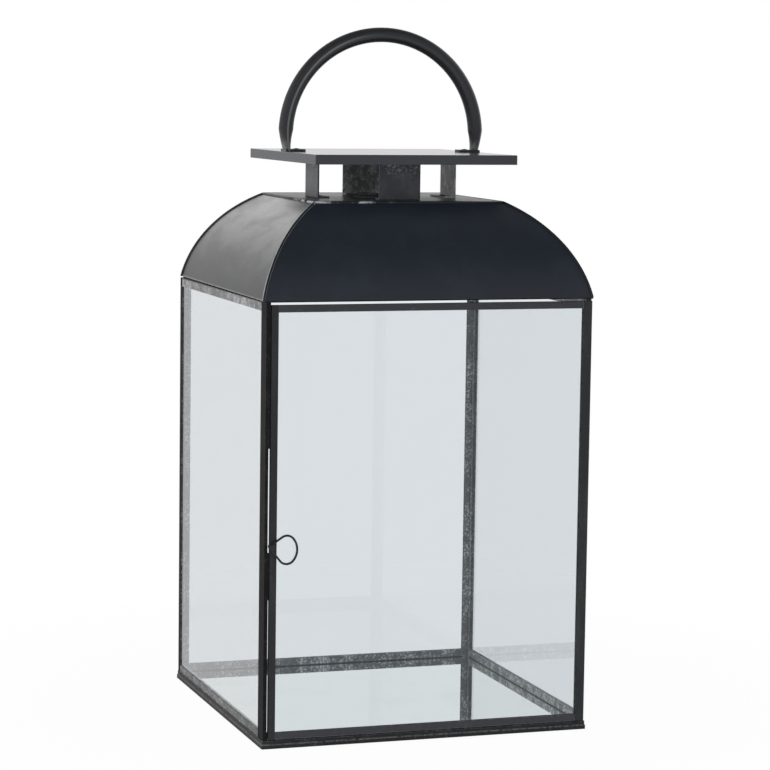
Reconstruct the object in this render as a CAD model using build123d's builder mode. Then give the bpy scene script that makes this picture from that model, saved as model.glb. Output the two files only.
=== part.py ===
from build123d import *

import os
from math import acos, asin, atan2, cos, hypot, radians, sin, sqrt

# Square candle lantern: glazed sheet-steel body, hinged glass door, curved hipped roof, cap and arch handle.
# Millimetres. The origin is the middle of the underside of the base, +Z is up and the door faces -Y.

# Sheet, glass and running clearances
glass_thickness = 2.0
glass_clearance = 0.1
channel_sheet = 0.6
channel_fold_radius = 0.45
pane_bite = 3.5
pin_clearance = 0.05
wire_clearance = 0.07

# Base tray and the mirror that lies in it
base_width = 250.0
base_floor = 1.0
base_lip_height = 5.8
base_lip_thickness = 1.0
base_step_height = 2.9
base_step_depth = 0.5
base_corner_radius = 1.2
mirror_thickness = 4.0
mirror_clearance = 0.4

# Fixed glazed panels
frame_top = 320.6
post_width = 13.5
side_stile_width = 6.3
back_stile_width = 4.5
top_rail_height = 6.6
bottom_rail_height = 10.3

# Door and its hinge wire
door_side_gap = 0.5
door_back_gap = 0.4
door_sill_gap = 0.4
door_head_gap = 1.7
latch_stile_width = 5.1
hinge_stile_width = 7.4
door_rail_height = 5.2
door_pane_bite = 1.5
hinge_wire_lift = 0.3

# Latch: slots in the post beside the door, stud through the stile, wire loop on the stud
latch_height = 146.3
latch_slot_low = 4.3
latch_slot_length = 75.0
latch_slot_width = 1.1
foot_slot_low = 12.0
foot_slot_length = 96.0
foot_slot_width = 0.7
stud_radius = 1.3
stud_head_radius = 2.3
stud_head_thickness = 0.8
loop_wire_radius = 0.8
loop_face_gap = 0.4
loop_head_gap = 0.3
loop_reach = 17.9
loop_drop = 2.1
loop_half_width = 7.7
loop_half_height = 10.25
loop_end_radius = 6.3

# Roof
eave_overhang = 0.3
eave_ring_setback = 1.8
eave_ring_width = 10.2
eave_ring_sheet = 1.0
roof_turn = -0.8
roof_rise = 66.9
roof_bulge = 9.6
roof_sheet = 0.8
roof_run = 51.8
roof_hem_height = 3.4
roof_hem_width = 3.2
roof_hem_gap = 0.1
crown_sheet = 0.8
vent_margin = 16.4

# Cap on four straps
side_strap_inset = 18.5
front_strap_inset = 27.5
strap_width = 32.0
strap_thickness = 1.2
strap_foot = 8.0
strap_fold_radius = 0.5
cap_overhang = 24.7
cap_turn = 1.9
cap_top = 423.5
cap_lip_height = 7.1
cap_sheet = 1.0
cap_fold_radius = 0.7

# Handle: a round tube bent to an arch, its ends flattened and turned in
handle_inset = 3.6
handle_tube_radius = 5.5
handle_centre_lift = 12.5
handle_shoulder_angle = 3.0
handle_flat_width = 13.6
handle_flat_thickness = 4.8
handle_tab_thickness = 1.8
handle_tab_width = 14.2
handle_tab_length = 16.0
handle_tab_corner_radius = 3.0

# Rivets
rivet_shank_radius = 1.5
rivet_head_radius = 2.8
rivet_head_height = 0.7
rivet_tail_radius = 2.3
rivet_tail_height = 0.8
rivet_clearance = 0.05
handle_rivet_inset = 6.0

# Values that follow from the ones above
glass_slot = glass_thickness + 2 * glass_clearance
channel_thickness = glass_slot + 2 * channel_sheet
base_half = base_width / 2
body_half = base_half - base_lip_thickness
panel_middle = body_half - channel_thickness / 2
inner_half = body_half - channel_thickness
back_rail_half = inner_half - back_stile_width
top_rail_low = frame_top - top_rail_height
pane_low = base_floor + channel_sheet
pane_high = top_rail_low + pane_bite

door_left = -inner_half + door_side_gap
door_right = body_half
door_low = base_lip_height + door_sill_gap
door_high = frame_top - door_head_gap
door_rail_left = door_left + latch_stile_width
door_rail_right = door_right - hinge_stile_width
hinge_x = door_right - channel_thickness / 2
hinge_y = -panel_middle
hinge_wire_radius = glass_slot / 2 - pin_clearance
hinge_hole_radius = glass_slot / 2

eave_half = body_half + eave_overhang
crown_half = eave_half - roof_run
side_strap_offset = crown_half - side_strap_inset
front_strap_offset = crown_half - front_strap_inset
vent_radius = front_strap_offset - strap_thickness / 2 - strap_foot - vent_margin
cap_width = 2 * (side_strap_offset + cap_overhang)
arch_radius = cap_width / 2 - handle_inset

roof_low = frame_top + eave_ring_sheet
roof_high = roof_low + roof_rise
crown_top = roof_high + crown_sheet
cap_underside = cap_top - cap_sheet

# The stud sits in the middle of the free space between the stile's web and the edge of the door's pane.
stud_x = (door_left + channel_sheet + door_rail_left - door_pane_bite) / 2
stud_hole_radius = stud_radius + pin_clearance
loop_y = -(body_half + loop_face_gap + loop_wire_radius)

up = (0, 0, 1)
down = (0, 0, -1)

os.makedirs("parts", exist_ok=True)


def save(piece, name):
    """Label one finished piece and write it to its own file."""
    piece.part.label = name
    export_step(piece.part, f"parts/{name}.step")


def channel(plane, depth, length):
    """Folded channel that grips a pane: web at the plane's origin, mouth along the plane's x."""
    with BuildPart() as piece:
        with BuildSketch(plane):
            with Locations((depth / 2, 0)):
                Rectangle(depth, channel_thickness)
            with Locations(((depth + channel_sheet) / 2, 0)):
                Rectangle(depth - channel_sheet, glass_slot, mode=Mode.SUBTRACT)
            web_corners = [v for v in vertices() if abs(v.X) < channel_sheet / 2]
            fillet(web_corners, channel_fold_radius)
        extrude(amount=length)
    return piece


def round_channel(plane, depth, length):
    """Channel whose closed edge is rolled round the hinge wire."""
    outer = channel_thickness / 2
    inner = glass_slot / 2
    with BuildPart() as piece:
        with BuildSketch(plane):
            with Locations((outer, 0)):
                Circle(outer)
            with Locations(((depth + outer) / 2, 0)):
                Rectangle(depth - outer, channel_thickness)
            with Locations((outer, 0)):
                Circle(inner, mode=Mode.SUBTRACT)
            with Locations(((depth + outer) / 2, 0)):
                Rectangle(depth - outer, glass_slot, mode=Mode.SUBTRACT)
        extrude(amount=length)
    return piece


def pane(plane, width, height):
    """Sheet of glass that stands on the plane's origin, width along x, height along z."""
    with BuildPart() as piece:
        with BuildSketch(plane):
            Rectangle(width, glass_thickness)
        extrude(amount=height)
    return piece


def upright(x, y, z, mouth):
    """Plane of an upright channel that starts at a point and opens towards mouth."""
    return Plane(origin=(x, y, z), x_dir=mouth, z_dir=up)


def lying(x, y, z, mouth, along):
    """Plane of a level channel that starts at a point, opens towards mouth and runs along a direction."""
    return Plane(origin=(x, y, z), x_dir=mouth, z_dir=along)


# Base tray: flat floor with a hemmed, stepped lip, and the hole that takes the foot of the hinge wire
with BuildPart() as base_tray:
    with BuildSketch():
        RectangleRounded(base_width, base_width, base_corner_radius)
    extrude(amount=base_step_height)
    with BuildSketch(Plane.XY.offset(base_step_height)):
        stepped = base_width - 2 * base_step_depth
        RectangleRounded(stepped, stepped, base_corner_radius)
    extrude(amount=base_lip_height - base_step_height)
    with BuildSketch(Plane.XY.offset(base_floor)):
        Rectangle(2 * body_half, 2 * body_half)
    extrude(amount=base_lip_height - base_floor, mode=Mode.SUBTRACT)
    with BuildSketch():
        with Locations((hinge_x, hinge_y)):
            Circle(hinge_hole_radius)
    extrude(amount=base_floor, mode=Mode.SUBTRACT)
save(base_tray, "base_tray")

with BuildPart() as base_mirror:
    with BuildSketch(Plane.XY.offset(base_floor)):
        mirror_width = 2 * (inner_half - mirror_clearance)
        Rectangle(mirror_width, mirror_width)
    extrude(amount=mirror_thickness)
    chamfer(base_mirror.faces().sort_by(Axis.Z)[-1].edges(), channel_sheet)
save(base_mirror, "base_mirror")

# Front sill: an inverted channel under the door, with a hole that steadies the hinge wire
sill_blank = channel(
    lying(-inner_half, hinge_y, base_lip_height, down, (1, 0, 0)),
    base_lip_height - base_floor,
    inner_half + body_half,
)
with BuildPart() as front_sill:
    add(sill_blank.part)
    with BuildSketch(Plane.XY.offset(base_floor)):
        with Locations((hinge_x, hinge_y)):
            Circle(hinge_hole_radius)
    extrude(amount=base_lip_height - base_floor, mode=Mode.SUBTRACT)
save(front_sill, "front_sill")


def slotted(stile, low, length, width):
    """Post with its web and inner leg cut away over a length, beside the door's stile."""
    with BuildPart() as slot:
        with BuildSketch(Plane.XY.offset(low)):
            with Locations((-inner_half - width / 2, -body_half + post_width / 2)):
                Rectangle(width, post_width)
        extrude(amount=length)
    with BuildPart() as piece:
        add(stile.part)
        add(slot.part, mode=Mode.SUBTRACT)
    return piece


# Left and right panels; the left one starts with the post beside the door, the right one starts behind the door
stile_length = frame_top - base_floor
side_panels = (
    ("left", -panel_middle, -body_half, post_width),
    ("right", panel_middle, -inner_half + door_back_gap, side_stile_width),
)
for side_name, x, front_edge, front_width in side_panels:
    rail_front = front_edge + front_width
    rail_length = body_half - side_stile_width - rail_front
    front_stile = channel(upright(x, front_edge, base_floor, (0, 1, 0)), front_width, stile_length)
    if side_name == "left":
        front_stile = slotted(front_stile, latch_height - latch_slot_low, latch_slot_length, latch_slot_width)
        front_stile = slotted(front_stile, foot_slot_low, foot_slot_length, foot_slot_width)
    back_stile = channel(upright(x, body_half, base_floor, (0, -1, 0)), side_stile_width, stile_length)
    top_rail = channel(lying(x, rail_front, frame_top, down, (0, 1, 0)), top_rail_height, rail_length)
    bottom_rail = channel(lying(x, rail_front, base_floor, up, (0, 1, 0)), bottom_rail_height, rail_length)
    glass = pane(
        upright(x, rail_front + rail_length / 2, pane_low, (0, 1, 0)),
        rail_length + 2 * pane_bite,
        pane_high - pane_low,
    )
    save(front_stile, f"{side_name}_front_stile")
    save(back_stile, f"{side_name}_back_stile")
    save(top_rail, f"{side_name}_top_rail")
    save(bottom_rail, f"{side_name}_bottom_rail")
    save(glass, f"{side_name}_glass")

# Back panel, which stands between the two side panels
for side_name, side in (("left", -1), ("right", 1)):
    foot = upright(side * inner_half, panel_middle, base_floor, (-side, 0, 0))
    save(channel(foot, back_stile_width, stile_length), f"back_{side_name}_stile")
save(
    channel(
        lying(-back_rail_half, panel_middle, frame_top, down, (1, 0, 0)), top_rail_height, 2 * back_rail_half
    ),
    "back_top_rail",
)
save(
    channel(
        lying(-back_rail_half, panel_middle, base_floor, up, (1, 0, 0)), bottom_rail_height, 2 * back_rail_half
    ),
    "back_bottom_rail",
)
save(
    pane(
        upright(0, panel_middle, pane_low, (1, 0, 0)), 2 * (back_rail_half + pane_bite), pane_high - pane_low
    ),
    "back_glass",
)

# Door: four channels round a pane, with the right-hand edge rolled round the hinge wire
door_length = door_high - door_low
door_rail_length = door_rail_right - door_rail_left
save(
    round_channel(upright(door_right, hinge_y, door_low, (-1, 0, 0)), hinge_stile_width, door_length),
    "door_hinge_stile",
)
latch_stile_blank = channel(
    upright(door_left, hinge_y, door_low, (1, 0, 0)), latch_stile_width, door_length
)
with BuildPart() as door_latch_stile:
    add(latch_stile_blank.part)
    with BuildSketch(Plane(origin=(stud_x, -inner_half, latch_height), x_dir=(1, 0, 0), z_dir=(0, -1, 0))):
        Circle(stud_hole_radius)
    extrude(amount=channel_thickness, mode=Mode.SUBTRACT)
save(door_latch_stile, "door_latch_stile")
save(
    channel(
        lying(door_rail_left, hinge_y, door_high, down, (1, 0, 0)), door_rail_height, door_rail_length
    ),
    "door_top_rail",
)
save(
    channel(
        lying(door_rail_left, hinge_y, door_low, up, (1, 0, 0)), door_rail_height, door_rail_length
    ),
    "door_bottom_rail",
)
door_pane_low = door_low + channel_sheet
door_pane_high = door_high - door_rail_height + door_pane_bite
save(
    pane(
        upright((door_rail_left + door_rail_right) / 2, hinge_y, door_pane_low, (1, 0, 0)),
        door_rail_length + 2 * door_pane_bite,
        door_pane_high - door_pane_low,
    ),
    "door_glass",
)

# Hinge wire: stands in the base's hole, runs up inside the rolled edge and ends in the eave ring's hole
with BuildPart() as hinge_wire:
    with BuildSketch(Plane.XY.offset(hinge_wire_lift)):
        with Locations((hinge_x, hinge_y)):
            Circle(hinge_wire_radius)
    extrude(amount=roof_low - 2 * hinge_wire_lift)
save(hinge_wire, "hinge_wire")

# Latch stud: a rivet through both legs of the latch stile, whose shank carries the wire loop
stud_back = -inner_half
stud_neck = 2 * loop_wire_radius + loop_face_gap + loop_head_gap
stud_front = -body_half - stud_neck
with BuildPart() as latch_stud:
    with BuildSketch(Plane(origin=(stud_x, stud_back, latch_height), x_dir=(1, 0, 0), z_dir=(0, -1, 0))):
        Circle(stud_radius)
    extrude(amount=stud_back - stud_front)
    with BuildSketch(Plane(origin=(stud_x, stud_back, latch_height), x_dir=(1, 0, 0), z_dir=(0, 1, 0))):
        Circle(stud_head_radius)
    extrude(amount=stud_head_thickness)
    with BuildSketch(Plane(origin=(stud_x, stud_front, latch_height), x_dir=(1, 0, 0), z_dir=(0, -1, 0))):
        Circle(stud_head_radius)
    extrude(amount=stud_head_thickness)
    fillet(latch_stud.faces().sort_by(Axis.Y)[0].edges(), stud_head_thickness / 2)
save(latch_stud, "latch_stud")

# Latch loop: one wire bent to a drooping oval, its narrow end round the stud
eye_radius = stud_radius + wire_clearance + loop_wire_radius
oval_x = stud_x + loop_reach - loop_half_width
oval_z = latch_height - loop_drop
end_rise = loop_half_height - loop_end_radius
side_radius = (end_rise**2 + loop_half_width**2 - loop_end_radius**2) / (
    2 * (loop_half_width - loop_end_radius)
)
side_centre_x = oval_x + loop_half_width - side_radius


def neck_tangent(sign):
    """Points where a straight neck leaves the eye round the stud and meets one end of the oval."""
    end_z = oval_z + sign * end_rise
    run = oval_x - stud_x
    rise = end_z - latch_height
    heading = atan2(rise, run) + sign * acos((eye_radius - loop_end_radius) / hypot(run, rise))
    on_eye = (stud_x + eye_radius * cos(heading), latch_height + eye_radius * sin(heading))
    on_end = (oval_x + loop_end_radius * cos(heading), end_z + loop_end_radius * sin(heading))
    return on_eye, on_end, heading


def side_tangent(sign):
    """Point where an end of the oval passes into its outer side, with its heading and the end's height."""
    end_z = oval_z + sign * end_rise
    heading = atan2(sign * end_rise, oval_x - side_centre_x)
    return (side_centre_x + side_radius * cos(heading), oval_z + side_radius * sin(heading)), heading, end_z


with BuildPart() as latch_loop:
    wire_plane = Plane(origin=(0, loop_y, 0), x_dir=(1, 0, 0), z_dir=(0, -1, 0))
    eye_upper, end_upper, heading_upper = neck_tangent(1)
    eye_lower, end_lower, heading_lower = neck_tangent(-1)
    side_upper, turn_upper, upper_z = side_tangent(1)
    side_lower, turn_lower, lower_z = side_tangent(-1)
    middle_upper = (heading_upper + turn_upper) / 2
    middle_lower = (heading_lower + turn_lower) / 2
    top_point = (oval_x + loop_end_radius * cos(middle_upper), upper_z + loop_end_radius * sin(middle_upper))
    low_point = (oval_x + loop_end_radius * cos(middle_lower), lower_z + loop_end_radius * sin(middle_lower))
    with BuildLine(wire_plane) as loop_path:
        Line(eye_upper, end_upper)
        ThreePointArc(end_upper, top_point, side_upper)
        ThreePointArc(side_upper, (oval_x + loop_half_width, oval_z), side_lower)
        ThreePointArc(side_lower, low_point, end_lower)
        Line(end_lower, eye_lower)
        ThreePointArc(eye_lower, (stud_x - eye_radius, latch_height), eye_upper)
    with BuildSketch(Plane(origin=loop_path.line @ 0, z_dir=loop_path.line % 0)):
        Circle(loop_wire_radius)
    sweep(path=loop_path.line)
save(latch_loop, "latch_loop")

# Eave ring: flat square frame that ties the tops of the panels together and carries the roof, with a lug
# at the front right corner for the top of the hinge wire
with BuildPart() as eave_ring:
    with BuildSketch(Plane.XY.offset(frame_top)):
        ring_width = 2 * (body_half - eave_ring_setback)
        ring_hole = ring_width - 2 * eave_ring_width
        Rectangle(ring_width, ring_width)
        Rectangle(ring_hole, ring_hole, mode=Mode.SUBTRACT)
        with Locations((hinge_x, hinge_y)):
            Rectangle(channel_thickness, channel_thickness)
            Circle(hinge_hole_radius, mode=Mode.SUBTRACT)
    extrude(amount=eave_ring_sheet)
save(eave_ring, "eave_ring")

# Roof panels: the same rolled sheet, hemmed inside its foot, four times, mitred along the hips; the roof sits
# slightly turned on the body
chord_length = hypot(roof_run, roof_rise)
roof_radius = (chord_length**2 / 4 + roof_bulge**2) / (2 * roof_bulge)
centre_back = (roof_radius - roof_bulge) / chord_length
roof_centre = (
    (eave_half + crown_half) / 2 - roof_rise * centre_back,
    (roof_low + roof_high) / 2 - roof_run * centre_back,
)


def roof_point(radius, height):
    """Point of a circle round the roof's centre of curvature at a height."""
    return (roof_centre[0] + sqrt(radius**2 - (height - roof_centre[1]) ** 2), height)


def side_plane(outward):
    """Upright plane through the middle: x runs outwards to one side, y runs up."""
    return Plane(origin=(0, 0, 0), x_dir=(*outward, 0), z_dir=(outward[1], -outward[0], 0))


def turned(outward, degrees):
    """Level direction turned about the upright axis."""
    angle = radians(degrees)
    return (
        outward[0] * cos(angle) - outward[1] * sin(angle),
        outward[0] * sin(angle) + outward[1] * cos(angle),
    )


sides = {"front": (0, -1), "back": (0, 1), "left": (-1, 0), "right": (1, 0)}
roof_inner_radius = roof_radius - roof_sheet
middle_height = (roof_low + roof_high) / 2
for side_name, straight_outward in sides.items():
    outward = turned(straight_outward, roof_turn)
    with BuildPart() as roof_panel:
        with BuildSketch(side_plane(outward)):
            with BuildLine():
                outer_low = roof_point(roof_radius, roof_low)
                outer_high = roof_point(roof_radius, roof_high)
                inner_low = roof_point(roof_inner_radius, roof_low)
                inner_high = roof_point(roof_inner_radius, roof_high)
                ThreePointArc(outer_low, roof_point(roof_radius, middle_height), outer_high)
                Line(outer_high, inner_high)
                ThreePointArc(inner_high, roof_point(roof_inner_radius, middle_height), inner_low)
                Line(inner_low, outer_low)
            make_face()
            hem_face = roof_point(roof_radius, roof_low + roof_hem_height)[0] - roof_hem_gap
            with Locations((hem_face - roof_hem_width / 2, roof_low + roof_hem_height / 2)):
                Rectangle(roof_hem_width, roof_hem_height)
        extrude(amount=eave_half, both=True)
        across = (outward[1], -outward[0])
        for sign in (-1, 1):
            mitre = (outward[0] + sign * across[0], outward[1] + sign * across[1], 0)
            split(bisect_by=Plane(origin=(0, 0, 0), z_dir=mitre), keep=Keep.TOP)
    save(roof_panel, f"roof_{side_name}_panel")

# Crown plate: flat top of the roof with the round vent
rivet_hole_radius = rivet_shank_radius + rivet_clearance
strap_offsets = {
    "front": front_strap_offset,
    "back": front_strap_offset,
    "left": side_strap_offset,
    "right": side_strap_offset,
}
strap_rivet_spots = []
for side_name, outward in sides.items():
    rivet_reach = strap_offsets[side_name] - strap_thickness / 2 - strap_foot / 2
    strap_rivet_spots.append((rivet_reach * outward[0], rivet_reach * outward[1]))
with BuildPart() as roof_crown_plate:
    with BuildSketch(Plane.XY.offset(roof_high)):
        Rectangle(2 * crown_half, 2 * crown_half, rotation=roof_turn)
        Circle(vent_radius, mode=Mode.SUBTRACT)
        with Locations(*strap_rivet_spots):
            Circle(rivet_hole_radius, mode=Mode.SUBTRACT)
    extrude(amount=crown_sheet)
save(roof_crown_plate, "roof_crown_plate")

# Straps: strips folded to a square hook, foot on the crown plate and head under the cap, both turned inwards
for (side_name, outward), rivet_spot in zip(sides.items(), strap_rivet_spots):
    strap_offset = strap_offsets[side_name]
    with BuildPart() as vent_strap:
        with BuildSketch(side_plane(outward)):
            strap_middle = (crown_top + cap_underside) / 2
            with Locations((strap_offset, strap_middle)):
                Rectangle(strap_thickness, cap_underside - crown_top)
            outer_edge = strap_offset + strap_thickness / 2
            flange_middle = outer_edge - (strap_foot + strap_thickness) / 2
            for height in (crown_top + strap_thickness / 2, cap_underside - strap_thickness / 2):
                with Locations((flange_middle, height)):
                    Rectangle(strap_foot + strap_thickness, strap_thickness)
            outer_folds = [v for v in vertices() if abs(v.X - outer_edge) < strap_thickness / 2]
            fillet(outer_folds, strap_fold_radius)
        extrude(amount=strap_width / 2, both=True)
        with BuildSketch(Plane(origin=(*rivet_spot, crown_top), z_dir=up)):
            Circle(rivet_hole_radius)
        extrude(amount=strap_thickness, mode=Mode.SUBTRACT)
    save(vent_strap, f"vent_strap_{side_name}")

# Cap: shallow tray turned upside down, sitting slightly turned on its straps
arch_centre_z = cap_top + handle_centre_lift
tab_top = cap_top + handle_tab_thickness
foot_x = sqrt(arch_radius**2 - (arch_centre_z - tab_top) ** 2)
tab_outer = foot_x + handle_flat_thickness / 2
tab_inner = tab_outer - handle_tab_length
handle_rivet_x = tab_inner + handle_rivet_inset
with BuildPart() as cap_plate:
    with BuildSketch(Plane.XY.offset(cap_top - cap_lip_height)):
        Rectangle(cap_width, cap_width, rotation=cap_turn)
    extrude(amount=cap_lip_height)
    fillet(cap_plate.edges().filter_by(Axis.Z), cap_fold_radius)
    fillet(cap_plate.faces().sort_by(Axis.Z)[-1].edges(), cap_fold_radius)
    with BuildSketch(Plane.XY.offset(cap_top - cap_lip_height)):
        hollow = cap_width - 2 * cap_sheet
        Rectangle(hollow, hollow, rotation=cap_turn)
    extrude(amount=cap_lip_height - cap_sheet, mode=Mode.SUBTRACT)
    with BuildSketch(Plane.XY.offset(cap_underside)):
        with Locations((handle_rivet_x, 0), (-handle_rivet_x, 0)):
            Circle(rivet_hole_radius)
    extrude(amount=cap_sheet, mode=Mode.SUBTRACT)
save(cap_plate, "cap_plate")

# Handle: arch of round tube, each end flattened sideways and turned in to a tab that lies on the cap
def arch_section(angle, side):
    """Plane square to the arch at an angle above the level of its centre, on one side."""
    reach = side * arch_radius * cos(angle)
    rise = arch_radius * sin(angle)
    outwards = (side * cos(angle), 0, sin(angle))
    along = (-side * sin(angle), 0, cos(angle))
    return Plane(origin=(reach, 0, arch_centre_z + rise), x_dir=outwards, z_dir=along)


shoulder = radians(handle_shoulder_angle)
foot_angle = -asin((arch_centre_z - tab_top) / arch_radius)
flat_radius = handle_flat_thickness / 2
flat_reach = handle_flat_width / 2
with BuildPart() as handle:
    with BuildSketch(arch_section(shoulder, 1)):
        Circle(handle_tube_radius)
    arch_axis = Axis(origin=(0, 0, arch_centre_z), direction=(0, -1, 0))
    revolve(axis=arch_axis, revolution_arc=180 - 2 * handle_shoulder_angle)
    for side in (-1, 1):
        with BuildSketch(arch_section(shoulder, side)):
            Circle(handle_tube_radius)
        with BuildSketch(arch_section((shoulder + foot_angle) / 2, side)):
            Ellipse((handle_tube_radius + flat_radius) / 2, (handle_tube_radius + flat_reach) / 2)
        with BuildSketch(Plane(origin=(side * foot_x, 0, tab_top - handle_tab_thickness / 4))):
            Ellipse(flat_radius, flat_reach)
        loft()
        with BuildSketch(Plane.XY.offset(cap_top)):
            with Locations((side * (tab_inner + tab_outer) / 2, 0)):
                Rectangle(handle_tab_length, handle_tab_width)
            tab_ends = [v for v in vertices() if abs(abs(v.X) - tab_inner) < handle_tab_corner_radius]
            fillet(tab_ends, handle_tab_corner_radius)
        extrude(amount=handle_tab_thickness)
        with BuildSketch(Plane.XY.offset(cap_top)):
            with Locations((side * handle_rivet_x, 0)):
                Circle(rivet_hole_radius)
        extrude(amount=handle_tab_thickness, mode=Mode.SUBTRACT)
save(handle, "handle")


def rivet(grip):
    """Round-head rivet along Z whose head rests at zero and whose tail closes a grip below it."""
    with BuildPart() as piece:
        with BuildSketch(Plane.XZ):
            with BuildLine():
                Polyline(
                    (0, rivet_head_height),
                    (0, -grip - rivet_tail_height),
                    (rivet_tail_radius, -grip - rivet_tail_height),
                    (rivet_tail_radius, -grip),
                    (rivet_shank_radius, -grip),
                    (rivet_shank_radius, 0),
                    (rivet_head_radius, 0),
                )
                dome_radius = (rivet_head_radius**2 + rivet_head_height**2) / (2 * rivet_head_height)
                dome_centre = rivet_head_height - dome_radius
                shoulder_x = rivet_head_radius / 2
                shoulder_z = dome_centre + sqrt(dome_radius**2 - shoulder_x**2)
                ThreePointArc((rivet_head_radius, 0), (shoulder_x, shoulder_z), (0, rivet_head_height))
            make_face()
        revolve(axis=Axis.Z)
    return piece


handle_rivet = rivet(cap_sheet + handle_tab_thickness)
with BuildPart() as handle_rivets:
    with Locations((handle_rivet_x, 0, tab_top), (-handle_rivet_x, 0, tab_top)):
        add(handle_rivet.part)
save(handle_rivets, "handle_rivets")

strap_rivet = rivet(crown_sheet + strap_thickness)
with BuildPart() as strap_rivets:
    for rivet_spot in strap_rivet_spots:
        with Locations((*rivet_spot, crown_top + strap_thickness)):
            add(strap_rivet.part)
save(strap_rivets, "strap_rivets")
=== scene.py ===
import logging
import math
from dataclasses import dataclass, replace
from enum import Enum
from typing import Any, Sequence, Union

import bmesh
import bpy
from mathutils import Matrix, Vector


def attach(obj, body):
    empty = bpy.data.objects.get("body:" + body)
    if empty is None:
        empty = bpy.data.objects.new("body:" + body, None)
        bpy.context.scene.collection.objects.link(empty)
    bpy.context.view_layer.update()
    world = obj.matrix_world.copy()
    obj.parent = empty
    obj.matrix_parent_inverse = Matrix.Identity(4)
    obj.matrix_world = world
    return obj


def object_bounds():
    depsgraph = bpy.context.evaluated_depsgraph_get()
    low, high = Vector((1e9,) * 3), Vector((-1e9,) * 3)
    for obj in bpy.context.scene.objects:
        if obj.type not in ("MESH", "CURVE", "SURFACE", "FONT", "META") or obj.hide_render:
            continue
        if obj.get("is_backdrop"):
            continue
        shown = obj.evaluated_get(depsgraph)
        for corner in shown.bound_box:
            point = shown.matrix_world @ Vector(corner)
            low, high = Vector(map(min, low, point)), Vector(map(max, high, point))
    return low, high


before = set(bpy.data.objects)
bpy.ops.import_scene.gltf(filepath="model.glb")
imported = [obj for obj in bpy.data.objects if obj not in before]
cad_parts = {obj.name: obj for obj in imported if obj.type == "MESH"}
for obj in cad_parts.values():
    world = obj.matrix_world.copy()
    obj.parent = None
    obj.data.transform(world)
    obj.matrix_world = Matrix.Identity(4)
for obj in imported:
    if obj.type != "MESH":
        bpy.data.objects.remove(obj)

LOG = logging.getLogger("lantern")
MM = 0.001

Triple = tuple[float, float, float]
Colour = Triple
Span = tuple[float, float]
Number = Union[float, "Signal"]

EVEN: Triple = (1.0, 1.0, 1.0)
WHITE: Colour = (1.0, 1.0, 1.0)

# The Mix node's colour sockets, which share their names with its other sockets
MIX_FACTOR, MIX_FIRST, MIX_SECOND, MIX_RESULT = 0, 6, 7, 2

PATTERN_MIDDLE = 0.5
BEVEL_SAMPLES = 4
EDGE_TURN: Span = (0.75, 0.99)


def metres(*sizes: float) -> tuple[float, ...]:
    """Millimetres turned into metres."""
    return tuple(size * MM for size in sizes)


class Signal:
    """A node's output, on which Python arithmetic adds Math nodes."""

    def __init__(self, bench: "NodeBench", socket: bpy.types.NodeSocket) -> None:
        """Keep the socket and the bench whose tree it belongs to.

        Args:
            bench: The bench that makes nodes in the socket's tree.
            socket: The output that this signal stands for.
        """
        self.bench = bench
        self.socket = socket

    def _math(
        self, operation: str, first: Number, second: Number = 0.0, clamp: bool = False
    ) -> "Signal":
        """Add one Math node.

        Args:
            operation: The Math node's operation.
            first: Its first value or link.
            second: Its second value or link.
            clamp: Whether the result is kept between 0 and 1.

        Returns:
            The node's result.
        """
        settings = {"operation": operation, "use_clamp": clamp}
        node = self.bench.make("ShaderNodeMath", settings, {0: first, 1: second})
        return Signal(self.bench, node.outputs[0])

    def __add__(self, other: Number) -> "Signal":
        """Sum of this signal and another value."""
        return self._math("ADD", self, other)

    def __radd__(self, other: float) -> "Signal":
        """Sum with the number on the left."""
        return self._math("ADD", other, self)

    def __sub__(self, other: Number) -> "Signal":
        """This signal less another value."""
        return self._math("SUBTRACT", self, other)

    def __rsub__(self, other: float) -> "Signal":
        """A number less this signal."""
        return self._math("SUBTRACT", other, self)

    def __mul__(self, other: Number) -> "Signal":
        """Product of this signal and another value."""
        return self._math("MULTIPLY", self, other)

    def __rmul__(self, other: float) -> "Signal":
        """Product with the number on the left."""
        return self._math("MULTIPLY", other, self)

    def __pow__(self, power: float) -> "Signal":
        """This signal raised to a power."""
        return self._math("POWER", self, power)

    def clamped(self) -> "Signal":
        """This signal kept between 0 and 1."""
        return self._math("ADD", self, 0.0, clamp=True)

    def larger(self, other: Number) -> "Signal":
        """The larger of this signal and another value."""
        return self._math("MAXIMUM", self, other)

    def step(self, low: float, high: float) -> "Signal":
        """A soft step over this signal.

        Args:
            low: The value at which the result is 0.
            high: The value at which the result is 1.

        Returns:
            The smooth step between the two.
        """
        node = self.bench.make(
            "ShaderNodeMapRange",
            {"interpolation_type": "SMOOTHSTEP", "clamp": True},
            {"Value": self, "From Min": low, "From Max": high},
        )
        return Signal(self.bench, node.outputs["Result"])


@dataclass(frozen=True)
class Pattern:
    """A noise: features per metre, octaves, weight of the finer octaves and a factor per axis."""

    scale: float
    detail: float
    roughness: float
    stretch: Triple = EVEN


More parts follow.
